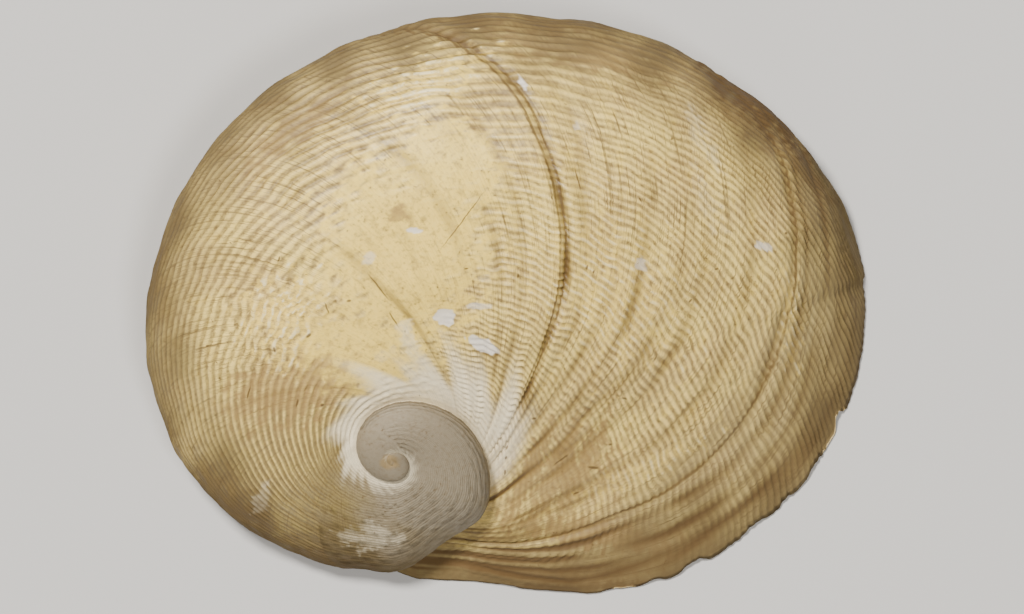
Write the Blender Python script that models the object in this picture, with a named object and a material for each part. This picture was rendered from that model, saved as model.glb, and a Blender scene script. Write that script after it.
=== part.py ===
"""Moon snail shell, an ear-shaped kind with a very wide mouth, lying on its mouth.

The shell is one surface of growth. A tube section turns about a leaning axis and grows by the same ratio
in every turn, so each growth line is a smaller, turned copy of the lip. Working values are in millimetres
about the apex. The mesh is written in metres, with the box's bottom centre at the origin.
"""

import math

import bpy
import numpy as np

NAME = "moon_snail_shell"
MM = 0.001

# Growth
TURN_RATIO = 6.13  # growth of every length over one whole turn
AXIS_TILT = 25.2  # degrees between the coiling axis and upright
AXIS_LEAN = -82.9  # azimuth in plan that the apex leans towards
SUTURE_AZIMUTH = -91.8  # azimuth about the axis at which the suture meets the lip

# Tube section at the suture's end, in the half-plane through the axis: distance out, then depth below the apex
SECTION_CENTRE = (21.81, 15.81)
SECTION_RADII = (25.23, 13.49)
SECTION_SKEW = 3.7  # degrees
SHOULDER = 3.14  # pushes both ends of the section outwards
FLANK = 0.17
BASE_SQUARENESS = 0.69

# Plan shape: radius about the apex, at azimuths measured from +X
OUTLINE = (
    (0, 24.99), (10, 27.23), (20, 29.25), (30, 30.23), (45, 29.77), (60, 28.54), (75, 26.80),
    (90, 24.96), (105, 23.13), (120, 21.00), (135, 18.73), (150, 16.48), (165, 14.24),
    (180, 12.20), (195, 10.43), (210, 8.88), (225, 7.78), (240, 7.02), (255, 6.47),
    (270, 6.58), (285, 7.19), (300, 8.10), (310, 9.38), (320, 11.80), (330, 15.41),
    (345, 20.10), (355, 23.30),
)
OUTLINE_GROWTH = 7.75  # outline radius over suture radius, in one direction
SPIRE_SHIFT = (0.097, -40.0)  # share by which the spire is drawn out, and towards which azimuth
SPIRE_OVAL = (0.070, -55.5)
RISE = 1.75  # height over what a section turned about the axis alone would have

# Wall and mouth
LIP_WALL = 0.60
WALL = 0.95
CORNER_WALL = 1.30  # from the suture's end to the hollow
CALLUS = 0.30
CALLUS_RUN = 7.0  # degrees of growth from the callus's edge to its full thickness
MOUTH_DEPTH = 145.0  # degrees of growth that the hollow runs in
END_RUN = 24.0  # degrees of growth in the hollow's round end
INNER_LIP_BEND = 0.80
COLUMELLA_SAG = 8.0  # degrees by which the lip lags between the base and the columella
COLUMELLA_RADIUS = 1.4
DEEP_THICKENING = 1.5  # share by which the wall is thicker at the hollow's end

# Mesh
TURN_ROWS = 34  # rows in the stretch that one seam closes
SPIRE_TURNS = 3.5  # such stretches in all
SIDE_COLUMNS = 20
BASE_COLUMNS = 14
MOUTH_ROWS = 22

GROWTH_RATE = math.log(TURN_RATIO) / 360


def section(angle):
    """Distance from the axis and depth of the tube's outline: an ellipse with its ends and base pushed out."""
    out = SECTION_RADII[0] * np.cos(angle) + SHOULDER * np.cos(2 * angle) + FLANK * np.cos(3 * angle)
    down = SECTION_RADII[1] * np.sin(angle) + BASE_SQUARENESS * np.sin(3 * angle)
    skew = math.radians(SECTION_SKEW)
    return (
        SECTION_CENTRE[0] + out * math.cos(skew) - down * math.sin(skew),
        SECTION_CENTRE[1] + out * math.sin(skew) + down * math.cos(skew),
    )


def axis_frame():
    """Two directions across the coiling axis and the one along it, from upright tilted towards AXIS_LEAN."""
    tilt, lean = math.radians(AXIS_TILT), math.radians(AXIS_LEAN)
    along = np.array([math.sin(tilt) * math.cos(lean), math.sin(tilt) * math.sin(lean), math.cos(tilt)])
    turn = np.array([-math.sin(lean), math.cos(lean), 0.0])
    first, second = np.eye(3)[0], np.eye(3)[1]
    spin = [
        v * math.cos(tilt) + np.cross(turn, v) * math.sin(tilt) + turn * (turn @ v) * (1 - math.cos(tilt))
        for v in (first, second)
    ]
    return spin[0], spin[1], along


ACROSS, BESIDE, ALONG = axis_frame()


def grown(growth, out, down, azimuth=0.0):
    """Point = e^(rate * growth) * (out across the axis at the azimuth, down along it), growth in degrees."""
    size = np.exp(GROWTH_RATE * growth)
    turned = np.radians(SUTURE_AZIMUTH - growth + azimuth)
    return (
        (size * out * np.cos(turned))[..., None] * ACROSS
        + (size * out * np.sin(turned))[..., None] * BESIDE
        - (size * down)[..., None] * ALONG
    )


def solve_pair(function, x, y, steps=30):
    """Newton's method on two equations in two unknowns."""
    for _ in range(steps):
        here = np.array(function(x, y))
        small = 1e-6
        by_x = (np.array(function(x + small, y)) - here) / small
        by_y = (np.array(function(x, y + small)) - here) / small
        step = np.linalg.solve(np.column_stack([by_x, by_y]), -here)
        x, y = x + step[0], y + step[1]
    return x, y


def seam_gap(inner, outer):
    """How far the section at one angle is from the previous turn's section at another."""
    a, b = section(inner), section(outer)
    return a[0] - b[0] / TURN_RATIO, a[1] - b[1] / TURN_RATIO


# Angles round the section: suture, the same seam on the turn before, end of the base, and the columella
SUTURE, SEAM = solve_pair(seam_gap, math.radians(-121.8), math.radians(11.7))
BASE = math.radians(88.0)
COLUMELLA = solve_pair(lambda a, b: (section(a)[0] - COLUMELLA_RADIUS, b), math.radians(155.0), 0.0)[0]


def depth_of(growth, angle):
    return -grown(growth, *section(angle))[..., 2]


LIP_DEPTH = float(depth_of(np.array(0.0), np.array(SUTURE)))


def first_meeting(angles):
    """Growth at which each line round the section first reaches the lip's flat plane."""
    growth = np.arange(-245.0, 20.0, 0.5)
    below = depth_of(growth[None, :], angles[:, None]) - LIP_DEPTH
    first = np.maximum((below >= 0).argmax(axis=1), 1)
    rows = np.arange(len(angles))
    before, after = below[rows, first - 1], below[rows, first]
    return growth[first - 1] - 0.5 * before / (after - before)


def lag_table():
    """How far each line lags behind the suture along a growth line. Past the base it runs on in a sagging curve."""
    angles = np.linspace(SUTURE, BASE, 160)
    known = first_meeting(angles)
    end = first_meeting(np.array([COLUMELLA]))[0]
    past = np.linspace(0, 1, 40)[1:]
    run_on = known[-1] + (end - known[-1]) * past - COLUMELLA_SAG * 4 * past * (1 - past)
    return np.concatenate([angles, BASE + (COLUMELLA - BASE) * past]), np.concatenate([known, run_on])


LAG_ANGLES, LAGS = lag_table()


def lag(angle):
    return np.interp(angle, LAG_ANGLES, LAGS)


SEAM_STRETCH = 360 + float(lag(SEAM))  # growth between the two sides of the seam, along a growth line


def skin(growth_line, angle):
    """Outer surface: the growth line's age in degrees, 0 at the lip, and the angle round the section."""
    return grown(growth_line + lag(angle), *section(angle))


def outline_radius(azimuth):
    """Measured radius, in logarithms between the listed azimuths, with a smooth curve through them."""
    at = np.array([a for a, _ in OUTLINE] + [360 + OUTLINE[0][0]], float)
    value = np.log([r for _, r in OUTLINE] + [OUTLINE[0][1]])
    slope = np.gradient(np.concatenate([value[-3:-1], value, value[1:3]]),
                        np.concatenate([at[-3:-1] - 360, at, at[1:3] + 360]))[2:-2]
    azimuth = np.asarray(azimuth) % 360
    i = np.clip(np.searchsorted(at, azimuth, side="right") - 1, 0, len(at) - 2)
    width = at[i + 1] - at[i]
    x = (azimuth - at[i]) / width
    return np.exp(
        value[i] * (1 + 2 * x) * (1 - x) ** 2 + value[i + 1] * x * x * (3 - 2 * x)
        + width * (slope[i] * x * (1 - x) ** 2 - slope[i + 1] * x * x * (1 - x))
    )


def spire_stretch(azimuth):
    """Logarithm of the spire's stretch in a direction: a shift and an oval."""
    return SPIRE_SHIFT[0] * np.cos(np.radians(azimuth - SPIRE_SHIFT[1])) + SPIRE_OVAL[0] * np.cos(
        2 * np.radians(azimuth - SPIRE_OVAL[1])
    )


def plan(points):
    return np.degrees(np.arctan2(points[..., 1], points[..., 0])), np.hypot(points[..., 0], points[..., 1])


def reach(azimuth, radius):
    """0 at the suture's radius in this direction, 1 at the outline's, on a logarithmic scale."""
    share = 1 + np.log(np.maximum(radius, 1e-6) / outline_radius(azimuth)) / math.log(OUTLINE_GROWTH)
    return np.clip(share, 0, 1.1)


def outline_stretch():
    """Logarithm of the stretch that brings the shell's widest point in each direction to OUTLINE."""
    lines, angles = np.meshgrid(np.linspace(-420, 0, 420), np.linspace(SUTURE, COLUMELLA, 200), indexing="ij")
    azimuth, radius = plan(skin(lines, angles))
    azimuth, radius = azimuth.ravel() % 360, radius.ravel()
    found = []
    for low in np.arange(0, 360, 3.0):
        inside = np.flatnonzero((azimuth >= low) & (azimuth < low + 3))
        widest = inside[radius[inside].argmax()]
        found.append((azimuth[widest], radius[widest]))
    at, radius = np.array(sorted(found)).T
    share = reach(at, radius)
    stretch = (np.log(outline_radius(at) / radius) - spire_stretch(at) * (1 - share)) / share
    blur = np.array([1, 2, 3, 4, 3, 2, 1]) / 16
    padded = np.concatenate([stretch[-3:], stretch, stretch[:3]])
    return at, np.convolve(padded, blur, mode="valid")


STRETCH_AT, STRETCH = outline_stretch()


def shaped(points):
    """Final place of a point: plan stretched to the measured spire and outline, height above the lip's plane."""
    azimuth, radius = plan(points)
    share = reach(azimuth, radius)
    outer = np.interp(azimuth % 360, STRETCH_AT, STRETCH, period=360)
    stretch = np.exp(spire_stretch(azimuth) * (1 - share) + outer * share)
    height = RISE * np.maximum(points[..., 2] + LIP_DEPTH, 0)
    return np.stack([points[..., 0] * stretch, points[..., 1] * stretch, height], axis=-1)


class Surface:
    """Points and faces gathered from grids, with shared points given by their index."""

    def __init__(self):
        self.points = []
        self.faces = []
        self.count = 0

    def add(self, points):
        points = np.asarray(points, float).reshape(-1, 3)
        self.points.append(points)
        self.count += len(points)
        return np.arange(self.count - len(points), self.count)

    def grid(self, index, flip=False):
        """Quads over a 2-D array of indices, as triangles where two corners are the same point."""
        a, b, c, d = index[:-1, :-1], index[1:, :-1], index[1:, 1:], index[:-1, 1:]
        for quad in np.stack([a, b, c, d], axis=-1).reshape(-1, 4):
            corners = list(dict.fromkeys(int(v) for v in quad))
            if len(corners) > 2:
                self.faces.append(corners if flip else corners[::-1])

    def fan(self, ring, centre, flip=False):
        for one, two in zip(ring[:-1], ring[1:]):
            face = [int(one), int(two), int(centre)]
            self.faces.append(face if flip else face[::-1])


def inner_lip(growth_line):
    """Angle round the section at which the outside ends and the mouth's inner side begins."""
    left = np.clip(1 + growth_line / SEAM_STRETCH, 0, 1)
    return SEAM + (COLUMELLA - SEAM) * left**INNER_LIP_BEND


def along_lip(start, end, count):
    """Angles round the section that stand evenly along the lip."""
    angles = np.linspace(start, end, 400)
    gaps = np.linalg.norm(np.diff(skin(0 * angles, angles), axis=0), axis=1)
    run = np.concatenate([[0], np.cumsum(gaps)])
    return np.interp(np.linspace(0, run[-1], count), run, angles)


def build_outside(surface):
    """The spiral band from suture to seam, and the base below the seam. Returns the mouth's edge as indices."""
    step = SEAM_STRETCH / TURN_ROWS
    rows = int(round(TURN_ROWS * SPIRE_TURNS))
    lines = -step * np.arange(rows + 1)
    angles = along_lip(SUTURE, SEAM, SIDE_COLUMNS + 1)
    band = surface.add(skin(lines[:, None], angles[None, :])).reshape(rows + 1, -1)
    for row in range(rows + 1 - TURN_ROWS):
        band[row + TURN_ROWS, -1] = band[row, 0]
    surface.grid(band)
    nucleus = np.concatenate([band[-TURN_ROWS - 1 :, 0], band[-1, 1:]])
    tip = surface.add(grown(lines[-1] - 60.0, 0.0 * lines[-1:], 0.0 * lines[-1:]))
    surface.fan(nucleus, tip[0], flip=True)

    base_lines = lines[: TURN_ROWS + 1]
    share = (along_lip(SEAM, COLUMELLA, BASE_COLUMNS + 1) - SEAM) / (COLUMELLA - SEAM)
    base_angles = SEAM + share[None, :] * (inner_lip(base_lines)[:, None] - SEAM)
    base = surface.add(skin(base_lines[:, None], base_angles)).reshape(TURN_ROWS + 1, -1)
    base[:, 0] = band[: TURN_ROWS + 1, -1]
    base[-1, :] = band[0, 0]
    surface.grid(base)
    lip = np.concatenate([band[0], base[0, 1:]])
    return lip, np.concatenate([angles, base_angles[0, 1:]]), base[1:-1, -1], base_lines[1:-1]


def turned_in(points, growth):
    """The same points as they were earlier in growth: smaller, and turned about the coiling axis."""
    out_x, out_y, down = points @ ACROSS, points @ BESIDE, -(points @ ALONG)
    radius, azimuth = np.hypot(out_x, out_y), np.degrees(np.arctan2(out_y, out_x))
    return grown(growth + 0 * radius, radius, down, azimuth - SUTURE_AZIMUTH)


def lip_set_in(angles):
    """Wall's direction and thickness at the lip: straight in from the skin, but never below the lip's plane."""
    at = skin(0 * angles, angles)
    along = skin(0 * angles, angles + 0.005) - skin(0 * angles, angles - 0.005)
    inward = np.cross(along, at - skin(0 * angles - 1.0, angles))
    inward[:, 2] = np.maximum(inward[:, 2], 0)
    inward /= np.linalg.norm(inward, axis=1)[:, None]
    return WALL * inward


def inner_set_in(lines):
    """The callus: a little further in over the turn before, and a little off it."""
    angles = inner_lip(lines)
    at, deeper = skin(lines, angles), skin(lines - CALLUS_RUN, angles)
    off = np.cross(skin(lines, angles + 0.01) - at, deeper - at)
    off /= -np.sign(off[:, 2:]) * np.linalg.norm(off, axis=1)[:, None]
    return deeper - at + CALLUS * off


def build_mouth(surface, lip, lip_angles, inner, inner_lines):
    """The hollow: its edge set in from the mouth's edge, then turned back along the growth to a round end."""
    edge = np.concatenate([lip, inner])
    at = np.concatenate(surface.points)[edge]
    set_in = np.concatenate([lip_set_in(lip_angles), inner_set_in(inner_lines)])
    corner = (at[3] + at[-3] - 2 * at[0]) * [1, 1, 0]
    set_in[0] = CORNER_WALL * corner / np.linalg.norm(corner)
    set_in[-1] = (set_in[-1] + set_in[0]) / 2
    thickens = np.concatenate([(lip_angles - SUTURE) / (SEAM - SUTURE), 0 * inner_lines]).clip(0, 1)

    def ring(depth):
        """The mouth's outline at this depth, with the wall at its full thickness from 20 degrees in."""
        share = LIP_WALL / WALL + (1 - LIP_WALL / WALL) * min(depth / 20, 1)
        deep = (np.clip(depth / MOUTH_DEPTH, 0.4, 1) - 0.4) / 0.6
        return turned_in(at + (share + thickens[:, None] * DEEP_THICKENING * deep**2) * set_in, -depth)

    rings = [edge] + [surface.add(ring(depth)) for depth in np.linspace(0, MOUTH_DEPTH, MOUTH_ROWS)]
    for part in (0.3, 0.6, 0.85):
        last = ring(MOUTH_DEPTH + END_RUN * part)
        middle = last[: len(lip)].mean(axis=0)
        rings.append(surface.add(middle + (last - middle) * math.sqrt(1 - part**2)))
    rings = np.stack(rings)
    surface.grid(np.column_stack([rings, rings[:, 0]]), flip=True)
    end = surface.add(turned_in(middle[None], -END_RUN * 0.15))
    surface.fan(np.append(rings[-1], rings[-1][0]), end[0])


def shell_mesh():
    surface = Surface()
    lip, lip_angles, inner, inner_lines = build_outside(surface)
    build_mouth(surface, lip, lip_angles, inner, inner_lines)
    points = shaped(np.concatenate(surface.points))
    points[lip, 2] = 0.0
    low, high = points.min(axis=0), points.max(axis=0)
    points -= [(low[0] + high[0]) / 2, (low[1] + high[1]) / 2, low[2]]
    mesh = bpy.data.meshes.new(NAME)
    mesh.from_pydata((points * MM).tolist(), [], surface.faces)
    mesh.validate()
    return mesh


def shell_material():
    material = bpy.data.materials.new("shell")
    material.use_nodes = True
    shader = material.node_tree.nodes["Principled BSDF"]
    shader.inputs["Base Color"].default_value = (0.72, 0.63, 0.47, 1)
    shader.inputs["Roughness"].default_value = 0.42
    shader.inputs["Metallic"].default_value = 0.0
    return material


def clear_scene():
    for obj in list(bpy.data.objects):
        bpy.data.objects.remove(obj, do_unlink=True)


def main():
    clear_scene()
    collection = bpy.data.collections.new("Moon snail shell")
    bpy.context.scene.collection.children.link(collection)
    mesh = shell_mesh()
    mesh.materials.append(shell_material())
    mesh.polygons.foreach_set("use_smooth", [True] * len(mesh.polygons))
    shell = bpy.data.objects.new(NAME, mesh)
    collection.objects.link(shell)


main()
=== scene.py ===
import math

import bpy
import numpy as np
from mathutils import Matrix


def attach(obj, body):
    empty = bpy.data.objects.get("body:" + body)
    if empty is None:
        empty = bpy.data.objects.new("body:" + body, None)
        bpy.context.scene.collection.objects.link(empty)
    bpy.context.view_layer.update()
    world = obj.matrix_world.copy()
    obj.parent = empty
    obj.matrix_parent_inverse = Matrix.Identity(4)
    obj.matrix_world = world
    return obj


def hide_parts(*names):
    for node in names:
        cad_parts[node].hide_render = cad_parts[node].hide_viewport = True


# Moon snail shell, the ear-shaped kind, lying on its mouth.
# Shapes are worked out in millimetres about the apex, then written in metres about the box's bottom centre.

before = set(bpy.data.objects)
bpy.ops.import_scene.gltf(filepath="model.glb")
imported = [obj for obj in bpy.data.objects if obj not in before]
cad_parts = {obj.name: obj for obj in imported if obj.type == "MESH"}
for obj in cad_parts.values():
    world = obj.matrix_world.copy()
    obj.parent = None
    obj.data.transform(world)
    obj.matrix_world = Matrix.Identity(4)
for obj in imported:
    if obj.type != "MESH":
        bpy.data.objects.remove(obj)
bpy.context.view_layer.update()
print("frame loaded")

mm = 0.001
photo = {
    "mmPerPixel": 0.05825,
    "centre": (507.5, 306.0),  # pixel over the box's centre
    "middle": (512.0, 307.0),  # pixel in the middle of the view
    "width": 1024,
}

growth = {
    "turnRatio": 6.13,  # growth of every length over one turn
    "axisTilt": 25.2,  # degrees between the coiling axis and upright
    "axisLean": -82.9,  # azimuth in plan that the apex leans towards
    "sutureAzimuth": -91.8,
    "rise": 1.75,  # height over what a section turned about the axis would have
    "apexAt": (-6.631, -9.047),  # apex from the box's centre, mm
    "baseLift": 0.30,  # mm by which the old base clears the lip's plane
    "baseEase": 1.5,  # mm of height over which that lift fades out
}
growth["rate"] = math.log(growth["turnRatio"]) / 360

tube = {
    "centre": (21.81, 15.81),  # out from the axis, down from the apex
    "radii": (25.23, 13.49),
    "skew": 3.7,
    "shoulder": 3.14,
    "flank": 0.17,
    "baseSquareness": 0.69,
    "baseEnd": math.radians(88.0),
    "columellaRadius": 1.4,
    "columellaSag": 8.0,
    "innerLipBend": 0.80,
}

plan = {
    "outline": (  # azimuth about the apex, radius in mm
        (0, 24.99), (10, 27.23), (20, 29.25), (30, 30.23), (45, 29.77), (60, 28.54), (75, 26.80),
        (90, 24.96), (105, 23.13), (120, 21.00), (135, 18.73), (150, 16.48), (165, 14.24),
        (180, 12.20), (195, 10.43), (210, 8.88), (225, 7.78), (240, 7.02), (255, 6.47),
        (270, 6.58), (285, 7.19), (300, 8.10), (310, 9.38), (320, 11.80), (330, 15.41),
        (345, 20.10), (355, 23.30),
    ),
    "outlineGrowth": 7.75,
    "spireShift": (0.097, -40.0),
    "spireOval": (0.070, -55.5),
}


def tubeSection(angle):
    # distance out and depth = ellipse + its ends pushed out (cos 2a) + its base squared (sin 3a), then skewed
    wide, high = tube["radii"]
    out = wide * np.cos(angle) + tube["shoulder"] * np.cos(2 * angle) + tube["flank"] * np.cos(3 * angle)
    down = high * np.sin(angle) + tube["baseSquareness"] * np.sin(3 * angle)
    skew = math.radians(tube["skew"])
    return (
        tube["centre"][0] + out * math.cos(skew) - down * math.sin(skew),
        tube["centre"][1] + out * math.sin(skew) + down * math.cos(skew),
    )


def axisFrame():
    # upright frame tilted towards the lean azimuth: two directions across the axis, one along it
    tilt, lean = math.radians(growth["axisTilt"]), math.radians(growth["axisLean"])
    along = np.array([math.sin(tilt) * math.cos(lean), math.sin(tilt) * math.sin(lean), math.cos(tilt)])
    turn = np.array([-math.sin(lean), math.cos(lean), 0.0])
    spun = [
        v * math.cos(tilt) + np.cross(turn, v) * math.sin(tilt) + turn * (turn @ v) * (1 - math.cos(tilt))
        for v in (np.eye(3)[0], np.eye(3)[1])
    ]
    return spun[0], spun[1], along


axisAcross, axisBeside, axisAlong = axisFrame()


def grownPoint(degrees, out, down, azimuth=0.0):
    # e^(rate * degrees) * (out across the axis at the turned azimuth, down along it)
    size = np.exp(growth["rate"] * degrees)
    turned = np.radians(growth["sutureAzimuth"] - degrees + azimuth)
    return (
        (size * out * np.cos(turned))[..., None] * axisAcross
        + (size * out * np.sin(turned))[..., None] * axisBeside
        - (size * down)[..., None] * axisAlong
    )


def solvePair(function, x, y):
    # Newton's method on two equations in two unknowns
    for _ in range(30):
        here = np.array(function(x, y))
        step = 1e-6
        byX = (np.array(function(x + step, y)) - here) / step
        byY = (np.array(function(x, y + step)) - here) / step
        move = np.linalg.solve(np.column_stack([byX, byY]), -here)
        x, y = x + move[0], y + move[1]
    return x, y


def seamGap(inner, outer):
    # gap between the section at one angle and the turn before it at another
    a, b = tubeSection(inner), tubeSection(outer)
    return a[0] - b[0] / growth["turnRatio"], a[1] - b[1] / growth["turnRatio"]


suture, seam = solvePair(seamGap, math.radians(-121.8), math.radians(11.7))
columella, _ = solvePair(
    lambda a, b: (tubeSection(a)[0] - tube["columellaRadius"], b), math.radians(155.0), 0.0)


def depthOf(degrees, angle):
    # how far a point of the grown section lies below the apex
    return -grownPoint(degrees, *tubeSection(angle))[..., 2]


lipDepth = float(depthOf(np.array(0.0), np.array(suture)))


def firstMeeting(angles):
    # growth at which each line round the section first reaches the lip's flat plane
    degrees = np.arange(-245.0, 20.0, 0.5)
    below = depthOf(degrees[None, :], angles[:, None]) - lipDepth
    first = np.maximum((below >= 0).argmax(axis=1), 1)
    rows = np.arange(len(angles))
    before, after = below[rows, first - 1], below[rows, first]
    return degrees[first - 1] - 0.5 * before / (after - before)


def lagTable():
    # how far each line round the section lags behind the suture along one growth line
    angles = np.linspace(suture, tube["baseEnd"], 160)
    known = firstMeeting(angles)
    end = firstMeeting(np.array([columella]))[0]
    past = np.linspace(0, 1, 40)[1:]
    runOn = known[-1] + (end - known[-1]) * past - tube["columellaSag"] * 4 * past * (1 - past)
    further = tube["baseEnd"] + (columella - tube["baseEnd"]) * past
    return np.concatenate([angles, further]), np.concatenate([known, runOn])


lagAngles, lagValues = lagTable()


def lag(angle):
    # the table read between its entries
    return np.interp(angle, lagAngles, lagValues)


stretch = 360 + float(lag(seam))  # growth between the two sides of the seam, along a growth line


def skin(line, angle):
    # outer surface by growth line (degrees, 0 at the lip) and angle round the section
    return grownPoint(line + lag(angle), *tubeSection(angle))


def outlineRadius(azimuth):
    # cubic curve through the logarithms of the plan's radii, once round
    at = np.array([a for a, _ in plan["outline"]] + [360 + plan["outline"][0][0]], float)
    value = np.log([r for _, r in plan["outline"]] + [plan["outline"][0][1]])
    slope = np.gradient(np.concatenate([value[-3:-1], value, value[1:3]]),
                        np.concatenate([at[-3:-1] - 360, at, at[1:3] + 360]))[2:-2]
    azimuth = np.asarray(azimuth) % 360
    i = np.clip(np.searchsorted(at, azimuth, side="right") - 1, 0, len(at) - 2)
    width = at[i + 1] - at[i]
    x = (azimuth - at[i]) / width
    return np.exp(
        value[i] * (1 + 2 * x) * (1 - x) ** 2 + value[i + 1] * x * x * (3 - 2 * x)
        + width * (slope[i] * x * (1 - x) ** 2 - slope[i + 1] * x * x * (1 - x))
    )


def spireStretch(azimuth):
    # logarithm of the spire's stretch: a shift (cosine of the azimuth) plus an oval (cosine of twice it)
    (shift, towards), (oval, across) = plan["spireShift"], plan["spireOval"]
    return shift * np.cos(np.radians(azimuth - towards)) + oval * np.cos(2 * np.radians(azimuth - across))


def planOf(points):
    # azimuth in degrees and distance in plan, about the apex
    return np.degrees(np.arctan2(points[..., 1], points[..., 0])), np.hypot(points[..., 0], points[..., 1])


def reachOf(azimuth, radius):
    # 0 at the suture's radius in this direction, 1 at the outline's, on a logarithmic scale
    share = 1 + np.log(np.maximum(radius, 1e-6) / outlineRadius(azimuth)) / math.log(plan["outlineGrowth"])
    return np.clip(share, 0, 1.1)


def outlineStretch():
    # logarithm of the stretch that brings the widest point in each direction to the outline
    lines, angles = np.meshgrid(
        np.linspace(-420, 0, 420), np.linspace(suture, columella, 200), indexing="ij")
    azimuth, radius = planOf(skin(lines, angles))
    azimuth, radius = azimuth.ravel() % 360, radius.ravel()
    found = []
    for low in np.arange(0, 360, 3.0):
        inside = np.flatnonzero((azimuth >= low) & (azimuth < low + 3))
        widest = inside[radius[inside].argmax()]
        found.append((azimuth[widest], radius[widest]))
    at, radius = np.array(sorted(found)).T
    share = reachOf(at, radius)
    value = (np.log(outlineRadius(at) / radius) - spireStretch(at) * (1 - share)) / share
    blur = np.array([1, 2, 3, 4, 3, 2, 1]) / 16
    return at, np.convolve(np.concatenate([value[-3:], value, value[:3]]), blur, mode="valid")


stretchAt, stretchValue = outlineStretch()


def smooth(low, high, x):
    # 0 below low, 1 above high, with an even slope in and out
    x = np.clip((x - low) / (high - low), 0, 1)
    return x * x * (3 - 2 * x)


def place(points, age):
    # plan stretched to the shape of the spire and the outline, and height above the lip's plane, with the old
    # base eased onto it
    azimuth, radius = planOf(points)
    share = reachOf(azimuth, radius)
    outer = np.interp(azimuth % 360, stretchAt, stretchValue, period=360)
    wider = np.exp(spireStretch(azimuth) * (1 - share) + outer * share)
    above = points[..., 2] + lipDepth
    lift = growth["baseLift"] * smooth(-30, -110, age)
    over, under = np.maximum(above, 0), np.minimum(above, 0)
    eased = np.where(above > 0, np.exp(-over / growth["baseEase"]), np.exp(under / growth["baseLift"]))
    height = growth["rise"] * (over + lift * eased)
    return np.stack([
        points[..., 0] * wider + growth["apexAt"][0],
        points[..., 1] * wider + growth["apexAt"][1],
        height,
    ], axis=-1)


def skinPlace(line, angle):
    # the outer surface in its final place, mm
    return place(skin(line, angle), line)


def skinNormal(line, angle):
    # cross product of the surface's two directions, pointing outwards
    d = 0.01
    byAngle = skinPlace(line, angle + d) - skinPlace(line, angle - d)
    byLine = skinPlace(line + 20 * d, angle) - skinPlace(line - 20 * d, angle)
    normal = np.cross(byAngle, byLine)
    return normal / np.maximum(np.linalg.norm(normal, axis=-1), 1e-9)[..., None]


facing = np.sign(skinNormal(np.array([-60.0]), np.array([-0.8]))[0, 2])
print("growth solved: suture %.3f, seam %.3f, stretch %.1f" % (suture, seam, stretch))


def wander(x, y, seed, waves=7):
    # smooth noise about 0: a sum of sines in seeded directions, with wavelengths around 1
    rng = np.random.default_rng(seed)
    total = 0
    for _ in range(waves):
        turn, phase = rng.uniform(0, 2 * math.pi), rng.uniform(0, 2 * math.pi)
        rate = rng.uniform(0.6, 1.6)
        total = total + np.sin(2 * math.pi * rate * (x * math.cos(turn) + y * math.sin(turn)) + phase)
    return total / math.sqrt(waves / 2)


relief = {
    "ridges": 42,  # main ridges between suture and seam
    "ridgeHeight": 0.058,
    "newRidgeHeight": 0.050,  # the ones that grow between them
    "splitLine": -85.0,  # growth line at which they are half grown, at one radian before the section's end
    "splitLean": 60.0,
    "splitWidth": 30.0,
    "waver": 0.11,  # how far ridges stray, in ridges
    "undulation": 0.05,
    "grooves": (  # growth line, depth mm, half width degrees, first and last angle, stain
        (-68.3, 0.20, 0.95, -2.1, 0.6, 1.0),
        (-15.6, 0.14, 0.90, -2.1, 0.6, 0.8),
        (-95.0, 0.05, 0.9, -1.3, 0.2, 0.6),
        (-119.5, 0.05, 1.0, -1.9, -1.2, 0.8),
        (-175.0, 0.03, 0.9, -1.9, -1.0, 0.4),
        (-78.5, 0.05, 0.9, -2.1, -0.6, 0.45),
        (-63.5, 0.05, 0.9, -2.1, -0.5, 0.5),
        (-57.0, 0.06, 0.9, -2.1, -1.2, 0.8),
        (-51.0, 0.05, 1.0, -2.1, -0.9, 0.7),
        (-44.0, 0.06, 0.9, -2.1, -1.3, 0.7),
        (-37.0, 0.05, 1.0, -2.1, -0.8, 0.7),
        (-26.5, 0.05, 0.9, -2.1, -0.3, 0.7),
        (-12.5, 0.05, 0.8, -2.1, 0.3, 0.6),
        (-8.0, 0.04, 0.8, -2.1, 0.3, 0.5),
        (-4.5, 0.04, 0.8, -2.1, -0.8, 0.6),
    ),
    "darkCores": (-68.3, -69.6, -15.6),  # growth lines with a dark line painted along the bottom
    "fineGrooves": 130,
    "fineDepth": 0.014,
    "fineStain": 20.0,
    "seed": 11,
}
ridgePitch = (seam - suture) / relief["ridges"]


def pixelPlan(x, y):
    # plan position in mm of a pixel of the photograph
    return (x - photo["centre"][0]) * photo["mmPerPixel"], (photo["centre"][1] - y) * photo["mmPerPixel"]


def patch(where, x, y, ragged=0.25, seed=3):
    # soft oval with a ragged edge: pixel x and y, half length and half width in pixels, turn in degrees
    cx, cy = pixelPlan(where[0], where[1])
    turn = math.radians(where[4])
    dx, dy = x - cx, y - cy
    u = (dx * math.cos(turn) + dy * math.sin(turn)) / (where[2] * photo["mmPerPixel"])
    v = (dy * math.cos(turn) - dx * math.sin(turn)) / (where[3] * photo["mmPerPixel"])
    tatter = wander(x / 1.1, y / 1.1, seed) * 0.5 + wander(x / 0.4, y / 0.4, seed + 1) * 0.3
    return smooth(1.15, 0.7, np.hypot(u, v) + ragged * tatter)


def strongest(places, x, y, ragged, seed, step=3):
    # the highest of several patches at each point, each times its own strength where it has one
    return np.max([
        (p[5] if len(p) > 5 else 1.0) * patch(p, x, y, ragged, seed + step * i) for i, p in enumerate(places)
    ], axis=0)


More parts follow.
